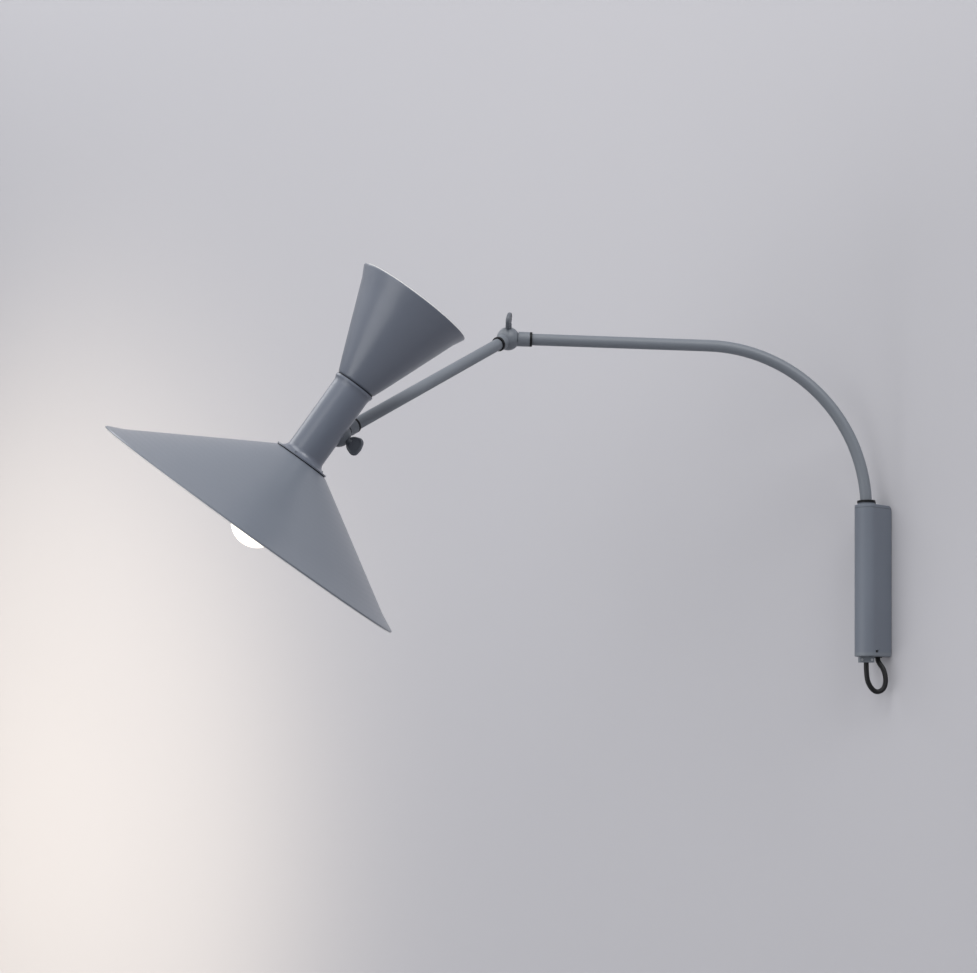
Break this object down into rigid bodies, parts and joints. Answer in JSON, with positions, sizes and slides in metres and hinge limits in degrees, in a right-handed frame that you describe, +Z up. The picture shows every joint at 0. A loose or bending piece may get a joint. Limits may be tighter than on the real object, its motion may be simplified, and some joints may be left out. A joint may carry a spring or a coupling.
{
  "type": "articulating wall lamp",
  "caption": "Wall lamp whose bent arm swings on a slim bracket and carries a forearm and a head with a wide lower cone and a narrow upper cone on ball knuckles with wing screws.",
  "frame": {"origin": "centre of the bracket's height and width in the wall plane, on the wall plate's back face", "axes": "+Y points into the wall and the lamp stands out towards -Y, +Z is up, +X runs along the wall to the right as seen from the room"},
  "size_m": [0.4049, 0.778, 0.3961],
  "materials": {
    "grey_paint": "satin blue-grey powder coat",
    "shade_paint": "satin blue-grey lacquer on spun aluminium, white inside",
    "clamp_paint": "satin blue-grey",
    "zinc_steel": "zinc plated",
    "black_nylon": "matt",
    "black_rubber": "matt",
    "black_cord": "smooth sheath",
    "white_plastic": "moulded",
    "white_ceramic": "glazed",
    "bare_aluminium": "machined",
    "opal_glass": "opal",
    "nickel_cap": "nickel plated"
  },
  "bodies": {
    "bracket": {"wall_plate": "zinc_steel", "bracket_housing": "grey_paint", "bottom_cap": "grey_paint", "cap_screw": "zinc_steel", "upper_bush": "grey_paint", "lower_bush": "black_nylon", "thrust_washer": "black_nylon", "terminal_block": "white_plastic", "terminal_screws": "zinc_steel", "cord_grommet": "black_rubber", "cord_loop": "black_cord", "supply_lead": "black_cord"},
    "main_arm": {"main_arm_tube": "grey_paint", "arm_lead": "black_cord", "post_collar": "zinc_steel", "collar_grub": "zinc_steel", "cord_clamp_front": "clamp_paint", "cord_clamp_back": "clamp_paint", "clamp_screws": "zinc_steel", "arm_nipple": "zinc_steel", "elbow_washer": "black_nylon"},
    "elbow_swivel": {"elbow_tapped_half": "grey_paint", "elbow_grub": "zinc_steel", "elbow_friction_disc": "black_nylon"},
    "elbow_screw": {"elbow_wing_screw": "grey_paint"},
    "forearm": {"elbow_clear_half": "grey_paint", "forearm_washer": "black_nylon", "forearm_nipple": "zinc_steel", "forearm_tube": "grey_paint", "forearm_lead": "black_cord", "wrist_nipple": "zinc_steel", "wrist_washer": "black_nylon"},
    "wrist_swivel": {"wrist_tapped_half": "grey_paint", "wrist_grub": "zinc_steel", "wrist_friction_disc": "black_nylon"},
    "wrist_screw": {"wrist_wing_screw": "grey_paint"},
    "head": {"wrist_clear_half": "grey_paint", "neck_nipple": "zinc_steel", "neck": "grey_paint", "shade_seal": "black_rubber", "cone_seal": "black_rubber", "lower_shade": "shade_paint", "upper_shade": "shade_paint", "shade_screws": "zinc_steel", "cone_screws": "zinc_steel", "socket_bridge": "bare_aluminium", "lower_socket_rod": "zinc_steel", "upper_socket_rod": "zinc_steel", "lower_socket": "white_ceramic", "upper_socket": "white_ceramic", "lower_bulb_glass": "opal_glass", "lower_bulb_cap": "nickel_cap", "upper_bulb_glass": "opal_glass", "upper_bulb_cap": "nickel_cap"}
  },
  "joints": [
    {"name": "arm_swing", "type": "hinge", "parent": "bracket", "child": "main_arm", "pos_m": [0, -0.0275, 0], "axis": [0, 0, 1], "range_deg": [-43, 127]},
    {"name": "elbow_roll", "type": "hinge", "parent": "main_arm", "child": "elbow_swivel", "pos_m": [-0.24959, -0.30469, 0.25219], "axis": [-0.6687, -0.7427, 0.0349], "range_deg": [-150, 150]},
    {"name": "elbow_hinge", "type": "hinge", "parent": "elbow_swivel", "child": "forearm", "pos_m": [-0.24959, -0.30469, 0.25219], "axis": [0.4464, -0.3635, 0.8177], "range_deg": [-156, 43]},
    {"name": "elbow_screw_turn", "type": "hinge", "parent": "elbow_swivel", "child": "elbow_screw", "pos_m": [-0.24959, -0.30469, 0.25219], "axis": [0.4464, -0.3635, 0.8177], "range_deg": [0, 180]},
    {"name": "wrist_roll", "type": "hinge", "parent": "forearm", "child": "wrist_swivel", "pos_m": [-0.2136, -0.55429, 0.12157], "axis": [0.1267, -0.8789, -0.4599], "range_deg": [-150, 150]},
    {"name": "wrist_hinge", "type": "hinge", "parent": "wrist_swivel", "child": "head", "pos_m": [-0.2136, -0.55429, 0.12157], "axis": [0.7106, 0.404, -0.5761], "range_deg": [-30, 80]},
    {"name": "wrist_screw_turn", "type": "hinge", "parent": "wrist_swivel", "child": "wrist_screw", "pos_m": [-0.2136, -0.55429, 0.12157], "axis": [0.7106, 0.404, -0.5761], "range_deg": [0, 180]}
  ]
}
